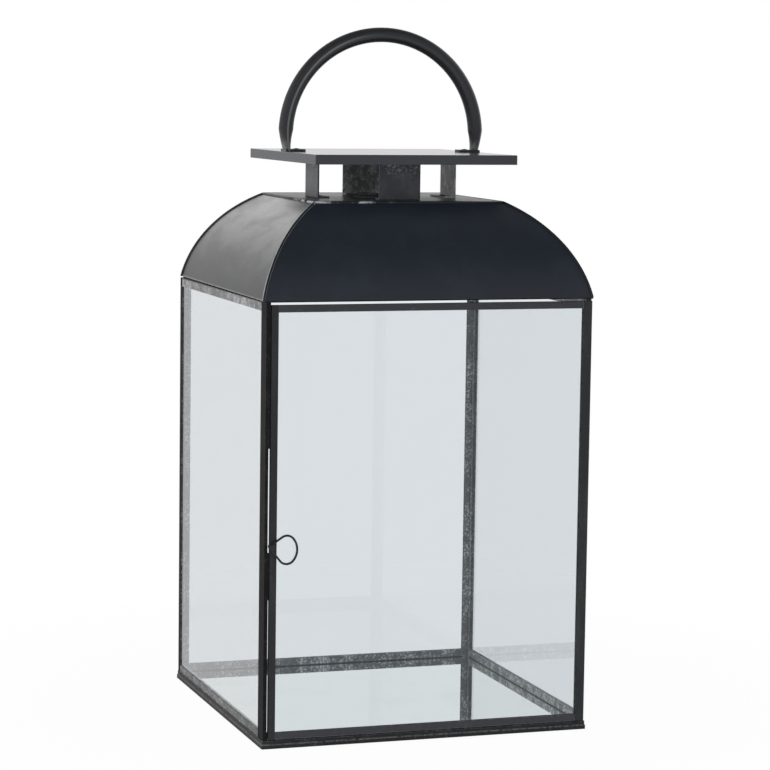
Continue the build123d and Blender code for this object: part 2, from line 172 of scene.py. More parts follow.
class NodeBench:
    """One node tree, emptied, with a method that makes any node in it."""

    def __init__(self, tree: bpy.types.NodeTree) -> None:
        """Empty a tree and keep it.

        Args:
            tree: The node tree of a material or a world.
        """
        self.tree = tree
        tree.nodes.clear()

    def make(
        self,
        kind: str,
        settings: dict[str, Any] | None = None,
        inputs: dict[Union[str, int], Any] | None = None,
    ) -> bpy.types.Node:
        """Make one node.

        Args:
            kind: The node's type name.
            settings: Its own settings, set first.
            inputs: Values or links for its sockets, by name or number.

        Returns:
            The new node.
        """
        node = self.tree.nodes.new(kind)
        for name, value in (settings or {}).items():
            setattr(node, name, value)
        for key, value in (inputs or {}).items():
            self._feed(node.inputs[key], value)
        return node

    def _feed(self, socket: bpy.types.NodeSocket, value: Any) -> None:
        """Link a signal or socket to an input, or set the input's own value.

        Args:
            socket: The input.
            value: A signal, an output socket, a number or a colour.
        """
        if isinstance(value, Signal):
            self.tree.links.new(value.socket, socket)
        elif isinstance(value, bpy.types.NodeSocket):
            self.tree.links.new(value, socket)
        elif socket.type == "RGBA" and len(value) == 3:
            socket.default_value = (*value, 1.0)
        else:
            socket.default_value = value

    def place(self, scale: Triple = EVEN) -> bpy.types.NodeSocket:
        """Object coordinates, stretched for patterns that run along one axis.

        Args:
            scale: Factor on each axis.

        Returns:
            The vector output.
        """
        coordinates = self.make("ShaderNodeTexCoord")
        inputs = {"Vector": coordinates.outputs["Object"], "Scale": scale}
        return self.make("ShaderNodeMapping", {}, inputs).outputs["Vector"]

    def axes(self, vector: bpy.types.NodeSocket) -> tuple[Signal, ...]:
        """The three parts of a vector."""
        split = self.make("ShaderNodeSeparateXYZ", {}, {0: vector})
        return tuple(Signal(self, split.outputs[axis]) for axis in "XYZ")

    def spread(self, vector: bpy.types.NodeSocket) -> tuple[Signal, ...]:
        """How far a vector goes along each axis, to either side."""
        size = self.make("ShaderNodeVectorMath", {"operation": "ABSOLUTE"}, {0: vector})
        return self.axes(size.outputs["Vector"])

    def rise(self, low: float, high: float) -> Signal:
        """A soft step over height.

        Args:
            low: Height in millimetres where it is 0.
            high: Height in millimetres where it is 1.

        Returns:
            The step.
        """
        _, _, height = self.axes(self.place())
        return height.step(*metres(low, high))

    def noise(self, pattern: Pattern) -> Signal:
        """A noise pattern on Object coordinates.

        Args:
            pattern: The noise's settings.

        Returns:
            The pattern, about 0 to 1.
        """
        inputs = {
            "Vector": self.place(pattern.stretch),
            "Scale": pattern.scale,
            "Detail": pattern.detail,
            "Roughness": pattern.roughness,
        }
        return Signal(self, self.make("ShaderNodeTexNoise", {}, inputs).outputs["Fac"])

    def blend(self, factor: Number, first: Any, second: Any) -> bpy.types.NodeSocket:
        """Mix two colours.

        Args:
            factor: Share of the second colour.
            first: Colour or link.
            second: Colour or link.

        Returns:
            The mixed colour.
        """
        inputs = {MIX_FACTOR: factor, MIX_FIRST: first, MIX_SECOND: second}
        return self.make("ShaderNodeMix", {"data_type": "RGBA"}, inputs).outputs[MIX_RESULT]

    def rounded(self, radius: float) -> bpy.types.NodeSocket:
        """Normal of the surface with its sharp edges rounded.

        Args:
            radius: Radius of the rounding in metres.

        Returns:
            The rounded normal.
        """
        node = self.make("ShaderNodeBevel", {"samples": BEVEL_SAMPLES}, {"Radius": radius})
        return node.outputs["Normal"]

    def edges(self, rounded: bpy.types.NodeSocket) -> Signal:
        """How close a point lies to a sharp edge.

        Args:
            rounded: The normal with the edges rounded.

        Returns:
            0 on flat faces, rising to 1 on an edge.
        """
        flat = self.make("ShaderNodeNewGeometry").outputs["True Normal"]
        settings = {"operation": "DOT_PRODUCT"}
        turn = self.make("ShaderNodeVectorMath", settings, {0: rounded, 1: flat})
        return 1.0 - Signal(self, turn.outputs["Value"]).step(*EDGE_TURN)

    def bump(
        self, height: Signal, strength: float, depth: float, normal: bpy.types.NodeSocket
    ) -> bpy.types.NodeSocket:
        """Turn a height pattern into a normal.

        Args:
            height: The pattern.
            strength: How much of the bump shows.
            depth: Height in metres of a full step of the pattern.
            normal: The normal that the bump bends.

        Returns:
            The bent normal.
        """
        inputs = {"Strength": strength, "Distance": depth, "Height": height, "Normal": normal}
        return self.make("ShaderNodeBump", {}, inputs).outputs["Normal"]

    def ray(self, kind: str) -> Signal:
        """1 for rays of one of the Light Path node's kinds."""
        return Signal(self, self.make("ShaderNodeLightPath").outputs[f"Is {kind} Ray"])

    def seen(self) -> Signal:
        """1 for rays that show the room: straight from the camera, in gloss or through glass."""
        return self.ray("Camera").larger(self.ray("Glossy")).larger(self.ray("Transmission"))

    def mixed(self, share: Signal, first: bpy.types.Node, second: bpy.types.Node) -> None:
        """Lead a mix of two shaders to the material's output.

        Args:
            share: Share of the second shader.
            first: The first shader.
            second: The second shader.
        """
        inputs = {0: share, 1: first.outputs[0], 2: second.outputs[0]}
        self.finish(self.make("ShaderNodeMixShader", {}, inputs))

    def finish(self, shader: bpy.types.Node) -> None:
        """Lead a shader to the material's output."""
        self.make("ShaderNodeOutputMaterial", {}, {"Surface": shader.outputs[0]})


@dataclass(frozen=True)
class Finish:
    """What every finish has: a name, and a way to make its material."""

    name: str

    def bench(self) -> tuple[bpy.types.Material, NodeBench]:
        """Start an empty material.

        Returns:
            The material, and the bench over its nodes.
        """
        material = bpy.data.materials.new(self.name)
        material.use_nodes = True
        return material, NodeBench(material.node_tree)

    def material(self) -> bpy.types.Material:
        """Make the finish's material; each finish does it its own way."""
        raise NotImplementedError


@dataclass(frozen=True)
class Tones:
    """Three tones of one surface: the plain coat, its cloudy bloom and its pale specks."""

    base: Colour = (0.016, 0.016, 0.017)
    bloom: Colour = (0.05, 0.052, 0.056)
    speck: Colour = (0.22, 0.22, 0.215)


@dataclass(frozen=True)
class Ridge:
    """A rubbed band between two heights in millimetres, broken up by the paint's fine pattern."""

    low: float
    high: float
    amount: float = 0.5
    low_fade: float = 0.2
    high_fade: float = 0.2
    breaks: Span = (0.3, 0.55)

    def mask(self, bench: NodeBench, fine: Signal) -> Signal:
        """Where the paint is rubbed off.

        Args:
            bench: The bench over the material's nodes.
            fine: The paint's fine pattern.

        Returns:
            The share of bare metal.
        """
        started = bench.rise(self.low - self.low_fade, self.low + self.low_fade)
        ended = bench.rise(self.high - self.high_fade, self.high + self.high_fade)
        return started * (1.0 - ended) * fine.step(*self.breaks) * self.amount


@dataclass(frozen=True)
class HighlightLine:
    """A painted highlight line along the front of an arch's left half, in millimetres."""

    radius: float
    centre_height: float
    amount: float = 0.75
    width: Span = (0.2, 1.0)
    front: Span = (-2.0, 0.0)
    end: Span = (-45.0, 5.0)

    def mask(self, bench: NodeBench) -> Signal:
        """Where the painted highlight line lies.

        Args:
            bench: The bench over the material's nodes.

        Returns:
            The highlight line's share, fading out at the top of the arch.
        """
        across, along, height = bench.axes(bench.place())
        lift = height - self.centre_height * MM
        gap = (across * across + lift * lift) ** 0.5 - self.radius * MM
        line = 1.0 - (gap * gap).step(*(size**2 for size in metres(*self.width)))
        facing = 1.0 - along.step(*metres(*self.front))
        left = 1.0 - across.step(*metres(*self.end))
        return line * facing * left * self.amount


@dataclass(frozen=True)
class BlackPaint(Finish):
    """Thin black paint over sheet steel: clouded, rubbed at the edges and dusted with pale specks.

    A panel's metal can be left bare inside the body; the paint then stops at the body's outer
    faces. Sizes and heights are in millimetres.
    """

    tones: Tones = Tones()
    inside: Tones | None = None
    inside_half: float = 123.8
    inside_fade: float = 0.2
    cloud_size: float = 26.0
    cloud_detail: float = 6.0
    cloud_roughness: float = 0.62
    streak: Triple = EVEN
    bloom_amount: float = 0.5
    bloom_cut: Span = (0.42, 0.72)
    speck_amount: float = 0.25
    speck_size: float = 2.4
    speck_detail: float = 4.0
    speck_roughness: float = 0.6
    speck_cut: Span = (0.58, 0.72)
    speck_patches: Span = (0.34, 0.6)
    speck_heights: Span | None = None
    speck_dullness: float = 0.25
    rub_amount: float = 0.35
    rub_cut: Span = (0.35, 0.6)
    edge_radius: float = 0.5
    ridge: Ridge | None = None
    # A painted highlight line, laid in the pale colour.
    highlight_line: HighlightLine | None = None
    roughness: float = 0.42
    roughness_swing: float = 0.2
    shine: float = 0.5
    grit: Pattern = Pattern(1500.0, 2.0, 0.5)
    grain: float = 0.25
    grain_depth: float = 0.5
    grain_shares: Triple = (0.4, 0.45, 0.15)
    lacquer: float = 0.0
    lacquer_roughness: float = 0.22
    lacquer_cut: Span = (0.3, 0.66)
    lacquer_swing: float = 0.7
    lacquer_heights: Span = (316.0, 384.0)
    # A dark colour laid towards the foot, and at the head as painted shade under the roof.
    dark_band: Colour = (0.02, 0.021, 0.022)
    dark_foot_heights: Span | None = None
    painted_shade_heights: Span | None = None

    def material(self) -> bpy.types.Material:
        """Make the paint.

        Returns:
            The material.
        """
        material, bench = self.bench()
        cloud_scale, fine_scale = (1.0 / size for size in metres(self.cloud_size, self.speck_size))
        cloud = bench.noise(
            Pattern(cloud_scale, self.cloud_detail, self.cloud_roughness, self.streak)
        )
        fine = bench.noise(Pattern(fine_scale, self.speck_detail, self.speck_roughness))
        grit = bench.noise(self.grit)
        normal = bench.rounded(self.edge_radius * MM)
        specks = self.specked(bench, cloud, fine)
        # Specks, rubbed edges and ridges, and any painted highlight line all take the pale colour.
        worn = specks.larger(self.rubbed(bench, fine, normal)).clamped()
        bloom = (cloud.step(*self.bloom_cut) * self.bloom_amount).clamped()
        base, bloomed, pale = self.shades(bench)
        painted = bench.blend(bloom, base, bloomed)
        swing = (cloud - PATTERN_MIDDLE) * self.roughness_swing
        cloud_share, fine_share, grit_share = self.grain_shares
        height = cloud * cloud_share + fine * fine_share + grit * grit_share
        shader = bench.make(
            "ShaderNodeBsdfPrincipled",
            {},
            {
                "Base Color": self.darkened(bench, bench.blend(worn, painted, pale)),
                "Roughness": (self.roughness + swing + specks * self.speck_dullness).clamped(),
                "Specular IOR Level": self.shine,
                "Normal": bench.bump(height, self.grain, self.grain_depth * MM, normal),
                "Coat Roughness": self.lacquer_roughness,
                "Coat Weight": self.lacquered(bench, cloud),
            },
        )
        bench.finish(shader)
        return material

    def specked(self, bench: NodeBench, cloud: Signal, fine: Signal) -> Signal:
        """Where pale specks lie.

        Args:
            bench: The bench over the material's nodes.
            cloud: The paint's cloudy pattern, in whose patches the specks gather.
            fine: The paint's fine pattern.

        Returns:
            The specks' share.
        """
        specks = fine.step(*self.speck_cut) * cloud.step(*self.speck_patches) * self.speck_amount
        return specks * bench.rise(*self.speck_heights) if self.speck_heights else specks

    def rubbed(self, bench: NodeBench, fine: Signal, normal: bpy.types.NodeSocket) -> Signal:
        """Rubbed paint at sharp edges and on a ridge, and a painted highlight line.

        Args:
            bench: The bench over the material's nodes.
            fine: The paint's fine pattern.
            normal: The normal with the edges rounded.

        Returns:
            The share of bare metal and of painted highlight.
        """
        rubbed = bench.edges(normal) * fine.step(*self.rub_cut) * self.rub_amount
        if self.ridge:
            rubbed = rubbed.larger(self.ridge.mask(bench, fine))
        if self.highlight_line:
            rubbed = rubbed.larger(self.highlight_line.mask(bench))
        return rubbed

    def shades(self, bench: NodeBench) -> tuple[Any, ...]:
        """The plain, bloomed and pale colours, which change where the metal is left bare.

        Args:
            bench: The bench over the material's nodes.

        Returns:
            The three colours or links.
        """
        outer = (self.tones.base, self.tones.bloom, self.tones.speck)
        if not self.inside:
            return outer
        inner = (self.inside.base, self.inside.bloom, self.inside.speck)
        bare = self.bareness(bench)
        return tuple(bench.blend(bare, *pair) for pair in zip(outer, inner))

    def bareness(self, bench: NodeBench) -> Signal:
        """Where the metal is bare.

        Args:
            bench: The bench over the material's nodes.

        Returns:
            1 inside the body, 0 on its outer faces.
        """
        across, along, _ = bench.spread(bench.place())
        outside = metres(self.inside_half - self.inside_fade, self.inside_half)
        return 1.0 - across.larger(along).step(*outside)

    def darkened(self, bench: NodeBench, colour: bpy.types.NodeSocket) -> bpy.types.NodeSocket:
        """Darken a colour towards the foot, and at the head with painted shade under the roof.

        Args:
            bench: The bench over the material's nodes.
            colour: The clean colour.

        Returns:
            The colour with its dark foot and its painted shade.
        """
        if self.dark_foot_heights:
            colour = bench.blend(bench.rise(*self.dark_foot_heights), self.dark_band, colour)
        if self.painted_shade_heights:
            colour = bench.blend(bench.rise(*self.painted_shade_heights), colour, self.dark_band)
        return colour

    def lacquered(self, bench: NodeBench, cloud: Signal) -> Number:
        """Weight of the clear lacquer, cloudy and growing with height.

        Args:
            bench: The bench over the material's nodes.
            cloud: The paint's cloudy pattern.

        Returns:
            The weight, or 0 where there is no lacquer.
        """
        if not self.lacquer:
            return 0.0
        patches = cloud.step(*self.lacquer_cut) * self.lacquer_swing + (1.0 - self.lacquer_swing)
        return patches * bench.rise(*self.lacquer_heights) * self.lacquer


@dataclass(frozen=True)
class Solder(Finish):
    """A painted seam with painted highlights of pale metal: on sides facing left or right, and near
    a point.

    The point, the reach and the sizes are in millimetres.
    """

    paint: Colour = (0.012, 0.012, 0.013)
    # Pale metal laid where painted highlights and glints fall on the seam.
    metal: Colour = (0.62, 0.63, 0.64)
    patches: Pattern = Pattern(90.0, 4.0, 0.6)
    # Share of painted highlight on the sides that face left or right.
    side_highlight_share: float = 0.0
    side_turn: Span = (-0.15, 0.2)
    side_cut: Span = (0.3, 0.5)
    side_swing: float = 0.5
    # Painted glints: pale patches near a point, out to a reach.
    glint_point: Triple = (-72.5, -72.5, 388.5)
    glint_reach: float = 0.0
    glint_core: float = 0.5
    glint_cut: Span = (0.42, 0.54)
    roughness: float = 0.45
    polish: float = 0.15
    metallic: float = 0.5
    grain: float = 0.3
    grain_depth: float = 0.5
    edge_radius: float = 0.3

    def material(self) -> bpy.types.Material:
        """Make the seam.

        Returns:
            The material.
        """
        material, bench = self.bench()
        patches = bench.noise(self.patches)
        swing = patches.step(*self.side_cut) * self.side_swing + (1.0 - self.side_swing)
        # Painted highlight: pale metal on the seam's sides that face left or right.
        bare = self.sideways(bench) * swing * self.side_highlight_share
        # Painted glints: pale metal in patches near the point.
        if self.glint_reach:
            bare = bare.larger(self.glint_nearness(bench) * patches.step(*self.glint_cut))
        normal = bench.rounded(self.edge_radius * MM)
        shader = bench.make(
            "ShaderNodeBsdfPrincipled",
            {},
            {
                "Base Color": bench.blend(bare, self.paint, self.metal),
                "Roughness": self.roughness - bare * self.polish,
                "Metallic": bare * self.metallic,
                "Normal": bench.bump(patches, self.grain, self.grain_depth * MM, normal),
            },
        )
        bench.finish(shader)
        return material

    def sideways(self, bench: NodeBench) -> Signal:
        """Where the surface faces left or right more than to the front or the back.

        Args:
            bench: The bench over the material's nodes.

        Returns:
            1 where it does.
        """
        normal = bench.make("ShaderNodeNewGeometry").outputs["Normal"]
        across, along, _ = bench.spread(normal)
        return (across - along).step(*self.side_turn)

    def glint_nearness(self, bench: NodeBench) -> Signal:
        """How near a place is to the point where the painted glint is brightest.

        Args:
            bench: The bench over the material's nodes.

        Returns:
            1 at the point, 0 at the glint's reach.
        """
        settings = {"operation": "DISTANCE"}
        inputs = {0: bench.place(), 1: metres(*self.glint_point)}
        gap = bench.make("ShaderNodeVectorMath", settings, inputs).outputs["Value"]
        limits = metres(self.glint_reach * self.glint_core, self.glint_reach)
        return 1.0 - Signal(bench, gap).step(*limits)


@dataclass(frozen=True)
class ClearGlass(Finish):
    """Thin clear float glass with a cool grey cast and faint smears.

    The face that a ray enters by carries the reflection of both faces of the pane.
    """

    tint: Colour = (0.915, 0.93, 0.94)
    reflection: Colour = (0.96, 0.97, 0.975)
    polish: float = 0.02
    bend: float = 1.45
    two_faces: float = 1.75
    smears: Pattern = Pattern(9.0, 3.0, 0.5)
    smear_cut: Span = (0.45, 0.75)
    smear_amount: float = 0.02

    def material(self) -> bpy.types.Material:
        """Make the glass.

        Returns:
            The material.
        """
        material, bench = self.bench()
        through = bench.make("ShaderNodeBsdfTransparent", {}, {"Color": self.tint})
        gloss = bench.make(
            "ShaderNodeBsdfPrincipled",
            {},
            {"Base Color": self.reflection, "Roughness": self.polish, "Metallic": 1.0},
        )
        edge = Signal(bench, bench.make("ShaderNodeFresnel", {}, {"IOR": self.bend}).outputs[0])
        haze = bench.noise(self.smears).step(*self.smear_cut) * self.smear_amount
        leaving = Signal(bench, bench.make("ShaderNodeNewGeometry").outputs["Backfacing"])
        share = (edge * self.two_faces + haze) * (1.0 - leaving)
        bench.mixed(share.clamped(), through, gloss)
        return material


@dataclass(frozen=True)
class SilveredGlass(Finish):
    """Mirror glass with a light film of dust."""

    silver: Colour = (0.955, 0.97, 0.94)
    dust: Colour = (0.62, 0.62, 0.61)
    film: Pattern = Pattern(24.0, 5.0, 0.6)
    film_cut: Span = (0.5, 0.85)
    film_amount: float = 0.25
    film_dullness: float = 0.1
    polish: float = 0.02

    def material(self) -> bpy.types.Material:
        """Make the mirror.

        Returns:
            The material.
        """
        material, bench = self.bench()
        film = bench.noise(self.film).step(*self.film_cut) * self.film_amount
        shader = bench.make(
            "ShaderNodeBsdfPrincipled",
            {},
            {
                "Base Color": bench.blend(film, self.silver, self.dust),
                "Roughness": film * self.film_dullness + self.polish,
                "Metallic": 1.0,
            },
        )
        bench.finish(shader)
        return material


@dataclass(frozen=True)
class PaleFloor(Finish):
    """Matt floor that keeps the shadow near the object and runs out to white, dimmer in gloss."""

    colour: Colour = (0.9, 0.9, 0.9)
    glow_near: float = 0.965
    glow_fade: Span = (0.15, 0.6)
    gloss: Colour = (0.75, 0.75, 0.75)

    def material(self) -> bpy.types.Material:
        """Make the floor's material.

        Returns:
            The material.
        """
        material, bench = self.bench()
        matt = bench.make("ShaderNodeBsdfDiffuse", {}, {"Color": self.colour})
        shown = bench.blend(bench.ray("Glossy"), WHITE, self.gloss)
        glow = bench.make("ShaderNodeEmission", {}, {"Color": shown, "Strength": 1.0})
        length = bench.make("ShaderNodeVectorMath", {"operation": "LENGTH"}, {0: bench.place()})
        far = Signal(bench, length.outputs["Value"]).step(*self.glow_fade)
        share = bench.seen() * (far * (1.0 - self.glow_near) + self.glow_near)
        bench.mixed(share, matt, glow)
        return material


TINNED = Tones((0.17, 0.192, 0.202), (0.45, 0.475, 0.485), (0.95, 0.96, 0.95))

# Where single pieces are rubbed, at heights in millimetres, and the handle's painted highlight line
TRAY_STEP = Ridge(2.5, 3.6, amount=0.3)
DOOR_FOOT = Ridge(6.2, 6.9, amount=0.3)
ROOF_FOOT = Ridge(321.0, 322.5)
HANDLE_FEET = Ridge(425.6, 430.5, amount=0.55, high_fade=4.0)
# Painted highlight: a pale line along the front of the handle's left arch.
HANDLE_HIGHLIGHT = HighlightLine(75.1, 436.0)


class Coat(Enum):
    """The lantern's finishes, each with its own settings."""

    POST = BlackPaint(
        "post_paint",
        Tones((0.012, 0.012, 0.0125), (0.03, 0.03, 0.032), (0.04, 0.04, 0.0395)),
        TINNED,
        roughness=0.7,
        shine=0.12,
        bloom_amount=0.45,
        speck_amount=0.9,
        speck_size=1.6,
        speck_cut=(0.51, 0.61),
        cloud_size=16.0,
    )
    RING = BlackPaint(
        "ring_paint",
        roughness=0.6,
        shine=0.2,
        bloom_amount=0.4,
        speck_amount=0.1,
        rub_amount=0.2,
    )
    DOOR = BlackPaint(
        "door_paint",
        Tones((0.031, 0.0315, 0.033), (0.085, 0.083, 0.081)),
        roughness=0.6,
        shine=0.3,
        speck_amount=0.15,
        rub_amount=0.5,
        edge_radius=0.7,
        cloud_size=8.0,
        streak=(1.0, 1.0, 0.12),
    )
    DOOR_RAIL = BlackPaint(
        "door_rail_paint",
        Tones((0.055, 0.056, 0.063), (0.075, 0.076, 0.08), (0.33, 0.32, 0.31)),
        roughness=0.55,
        shine=0.3,
        bloom_amount=0.35,
        rub_amount=0.7,
        edge_radius=0.7,
    )
    FOOT_RAIL = replace(
        DOOR_RAIL,
        name="foot_rail_paint",
        tones=Tones((0.068, 0.067, 0.071), (0.088, 0.086, 0.088), (0.33, 0.32, 0.31)),
        ridge=DOOR_FOOT,
    )
    TRAY = BlackPaint(
        "tray_paint",
        Tones((0.022, 0.022, 0.023), (0.06, 0.06, 0.06), (0.4, 0.39, 0.37)),
        rub_amount=0.85,
        edge_radius=0.7,
        ridge=TRAY_STEP,
        cloud_size=9.0,
        roughness=0.6,
        shine=0.25,
    )
    TOP_RAIL = BlackPaint(
        "top_rail_metal",
        Tones((0.1, 0.101, 0.105), (0.36, 0.362, 0.368), (0.62, 0.62, 0.6)),
        TINNED,
        bloom_amount=0.85,
        speck_amount=0.8,
        speck_size=1.6,
        speck_cut=(0.51, 0.62),
        rub_amount=0.85,
        edge_radius=0.6,
        cloud_size=14.0,
        roughness=0.38,
        # Painted shade: a dark band at the top of the rail, under the roof's edge.
        painted_shade_heights=(319.6, 320.2),
    )
    BOTTOM_RAIL = BlackPaint(
        "bottom_rail_metal",
        Tones((0.04, 0.041, 0.043), (0.16, 0.161, 0.163), (0.4, 0.4, 0.39)),
        TINNED,
        bloom_amount=0.85,
        speck_amount=1.0,
        speck_size=1.6,
        speck_cut=(0.5, 0.59),
        rub_amount=0.6,
        edge_radius=0.6,
        cloud_size=12.0,
        roughness=0.4,
        # Darker towards the foot of the rail.
        dark_foot_heights=(5.3, 6.3),
    )
    ROOF = BlackPaint(
        "roof_patina",
        Tones((0.012, 0.0132, 0.016), (0.085, 0.088, 0.095), (0.34, 0.34, 0.34)),
        speck_amount=0.03,
        rub_amount=0.0,
        ridge=ROOF_FOOT,
        cloud_size=22.0,
        cloud_detail=5.0,
        streak=(1.0, 0.4, 1.0),
        roughness=0.3,
        roughness_swing=0.24,
        shine=0.31,
        grain=0.02,
        edge_radius=0.0,
        lacquer=1.0,
    )
    ROOF_SMOOTH = BlackPaint(
        "roof_paint_painted_blue_sheen",
        # The navy cast of these tones is partly the paint's own and partly a painted reflection of
        # bluish light.
        Tones((0.0195, 0.0262, 0.0352), (0.0275, 0.0355, 0.0485)),
        speck_amount=0.03,
        rub_amount=0.0,
        roughness=0.34,
        roughness_swing=0.05,
        shine=0.45,
        grain=0.03,
        edge_radius=0.0,
    )
    SEAM = Solder("painted_seam")
    # This hip's seam is painted lighter on its left and right sides, as highlight.
    LIT_SEAM = Solder("seam_painted_highlight", side_highlight_share=0.8)
    # Pale patches near the crown's front-left corner are painted glints.
    CROWN_SEAM = Solder("crown_solder_painted_glint", glint_reach=62.0)
    PLATE = BlackPaint(
        "polished_plate",
        Tones((0.06, 0.062, 0.07)),
        shine=0.42,
        roughness=0.15,
        roughness_swing=0.06,
        bloom_amount=0.3,
        speck_amount=0.04,
        rub_amount=0.25,
        grain=0.0,
    )
    CROWN = BlackPaint(
        "crown_plate",
        Tones((0.05, 0.052, 0.055)),
        roughness=0.36,
        speck_amount=0.15,
        grain=0.05,
    )
    STRAP = BlackPaint(
        "strap_patina",
        Tones((0.086, 0.088, 0.099), (0.2, 0.198, 0.195), (0.45, 0.45, 0.42)),
        speck_amount=0.75,
        speck_size=2.0,
        speck_cut=(0.5, 0.62),
        speck_heights=(404.0, 413.0),
        cloud_size=16.0,
        roughness=0.45,
        shine=0.3,
    )
    # A lighter copy of the strap paint for the left strap: painted light from the left.
    LIT_SIDE_STRAP = replace(
        STRAP,
        name="side_strap_painted_light",
        tones=Tones((0.108, 0.11, 0.121), (0.23, 0.228, 0.225), (0.45, 0.45, 0.42)),
    )
    DUSTY_STRAP = BlackPaint(
        "dusty_strap",
        Tones((0.215, 0.218, 0.218), (0.68, 0.68, 0.66), (0.88, 0.88, 0.84)),
        bloom_amount=0.95,
        speck_amount=0.8,
        speck_size=2.0,
        speck_cut=(0.52, 0.64),
        cloud_size=10.0,
        roughness=0.5,
    )
    # A lighter copy of the dusty strap for the right strap's inner face: painted light from the
    # left under the cap.
    LIT_DUSTY_STRAP = replace(
        DUSTY_STRAP,
        name="dusty_strap_painted_light",
        tones=Tones((0.345, 0.35, 0.345), (0.9, 0.9, 0.87), (0.95, 0.95, 0.91)),
    )
    TUBE = BlackPaint(
        "handle_paint",
        Tones((0.027, 0.027, 0.0295)),
        streak=(1.0, 1.0, 0.35),
        roughness=0.3,
        roughness_swing=0.1,
        ridge=HANDLE_FEET,
        # The handle carries a painted highlight line along its front.
        highlight_line=HANDLE_HIGHLIGHT,
        bloom_amount=0.2,
        speck_amount=0.08,
        rub_amount=0.1,
        grain=0.15,
    )
    WIRE = BlackPaint(
        "drawn_wire",
        roughness=0.45,
        bloom_amount=0.3,
        speck_amount=0.1,
        rub_amount=0.0,
    )
    GLASS = ClearGlass("pane_glass")
    MIRROR = SilveredGlass("base_mirror_glass")


class Wardrobe:
    """The materials made so far, one per coat."""

    def __init__(self) -> None:
        """Start with none."""
        self.made: dict[Coat, bpy.types.Material] = {}

    def dress(self, obj: bpy.types.Object, coat: Coat) -> None:
        """Give an object's every material slot a coat.

        Args:
            obj: A CAD node or a new piece.
            coat: The coat it wears.
        """
        if coat not in self.made:
            self.made[coat] = coat.value.material()
        if not obj.data.materials:
            obj.data.materials.append(self.made[coat])
        for place in obj.material_slots:
            place.material = self.made[coat]
        LOG.info("%s wears %s", obj.name, coat.name.lower())

    def dress_nodes(self, names: Sequence[str], coat: Coat) -> None:
        """Give several CAD nodes the same coat.

        Args:
            names: The nodes.
            coat: The coat they wear.
        """
        for name in names:
            self.dress(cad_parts[name], coat)


def stand(name: str, shape: bmesh.types.BMesh) -> bpy.types.Object:
    """Stand a modelled shape in the scene as an object.

    Args:
        name: The object's name.
        shape: The shape, which is used up.

    Returns:
        The new object.
    """
    mesh = bpy.data.meshes.new(name)
    shape.to_mesh(mesh)
    shape.free()
    piece = bpy.data.objects.new(name, mesh)
    bpy.context.scene.collection.objects.link(piece)
    return piece


def ring_place(path: Sequence[Vector], step: int) -> Matrix:
    """Place and turn of a bar's ring at one point of its path.

    Args:
        path: Points in metres that the bar's middle runs through.
        step: Number of the point.

    Returns:
        The matrix that brings a flat ring at the origin there.
    """
    ahead = path[min(step + 1, len(path) - 1)] - path[max(step - 1, 0)]
    return Matrix.Translation(path[step]) @ ahead.to_track_quat("Z", "Y").to_matrix().to_4x4()


def sort_faces(shape: bmesh.types.BMesh) -> None:
    """Put faces in the order of their corners, since the operators' own order changes between runs.

    Args:
        shape: The shape whose faces are sorted.
    """
    shape.verts.index_update()
    faces = sorted(shape.faces, key=lambda face: sorted(corner.index for corner in face.verts))
    ranks = {face: rank for rank, face in enumerate(faces)}
    shape.faces.sort(key=ranks.get)


def bar(name: str, path: Sequence[Vector], radius: float, sides: int) -> bpy.types.Object:
    """Make a round bar by drawing a ring along a path.

    Args:
        name: The object's name.
        path: Points in metres that the bar's middle runs through.
        radius: The bar's radius in metres.
        sides: Facets round the bar.

    Returns:
        The new object.
    """
    shape = bmesh.new()
    bmesh.ops.create_circle(shape, segments=sides, radius=radius, matrix=ring_place(path, 0))
    first = rim = list(shape.edges)
    for step in range(1, len(path)):
        grown = bmesh.ops.extrude_edge_only(shape, edges=rim)["geom"]
        edges = [item for item in grown if isinstance(item, bmesh.types.BMEdge)]
        rim = [edge for edge in edges if edge.is_boundary]
        moved = [item for item in grown if isinstance(item, bmesh.types.BMVert)]
        onward = ring_place(path, step) @ ring_place(path, step - 1).inverted()
        bmesh.ops.transform(shape, matrix=onward, verts=moved)
    bmesh.ops.holes_fill(shape, edges=first + rim, sides=sides)
    bmesh.ops.recalc_face_normals(shape, faces=shape.faces)
    for face in shape.faces:
        face.smooth = len(face.verts) == 4
    sort_faces(shape)
    return stand(name, shape)


@dataclass
class Base:
    """The tray that the lantern stands on and the mirror in it."""

    wardrobe: Wardrobe

    def dress(self) -> None:
        """Paint the tray and silver the mirror."""
        self.wardrobe.dress_nodes(["base_tray", "front_sill"], Coat.TRAY)
        self.wardrobe.dress_nodes(["base_mirror"], Coat.MIRROR)


@dataclass
class FixedPanel:
    """One glazed panel of the body: two stiles, two rails and a pane."""

    wardrobe: Wardrobe
    side: str
    stiles: tuple[str, str]

    def dress(self) -> None:
        """Paint the stiles, leave the rails worn and glaze the panel."""
        stiles = [f"{self.side}_{stile}_stile" for stile in self.stiles]
        self.wardrobe.dress_nodes(stiles, Coat.POST)
        self.wardrobe.dress_nodes([f"{self.side}_top_rail"], Coat.TOP_RAIL)
        self.wardrobe.dress_nodes([f"{self.side}_bottom_rail"], Coat.BOTTOM_RAIL)
        self.wardrobe.dress_nodes([f"{self.side}_glass"], Coat.GLASS)


@dataclass
class Door:
    """The glazed door with its hinge wire, stud and pull loop."""

    wardrobe: Wardrobe

    def dress(self) -> None:
        """Paint the frame, glaze it and darken the wire."""
        self.wardrobe.dress_nodes(["door_hinge_stile", "door_latch_stile"], Coat.DOOR)
        self.wardrobe.dress_nodes(["door_top_rail"], Coat.DOOR_RAIL)
        self.wardrobe.dress_nodes(["door_bottom_rail"], Coat.FOOT_RAIL)
        self.wardrobe.dress_nodes(["door_glass"], Coat.GLASS)
        self.wardrobe.dress_nodes(["hinge_wire", "latch_stud", "latch_loop"], Coat.WIRE)


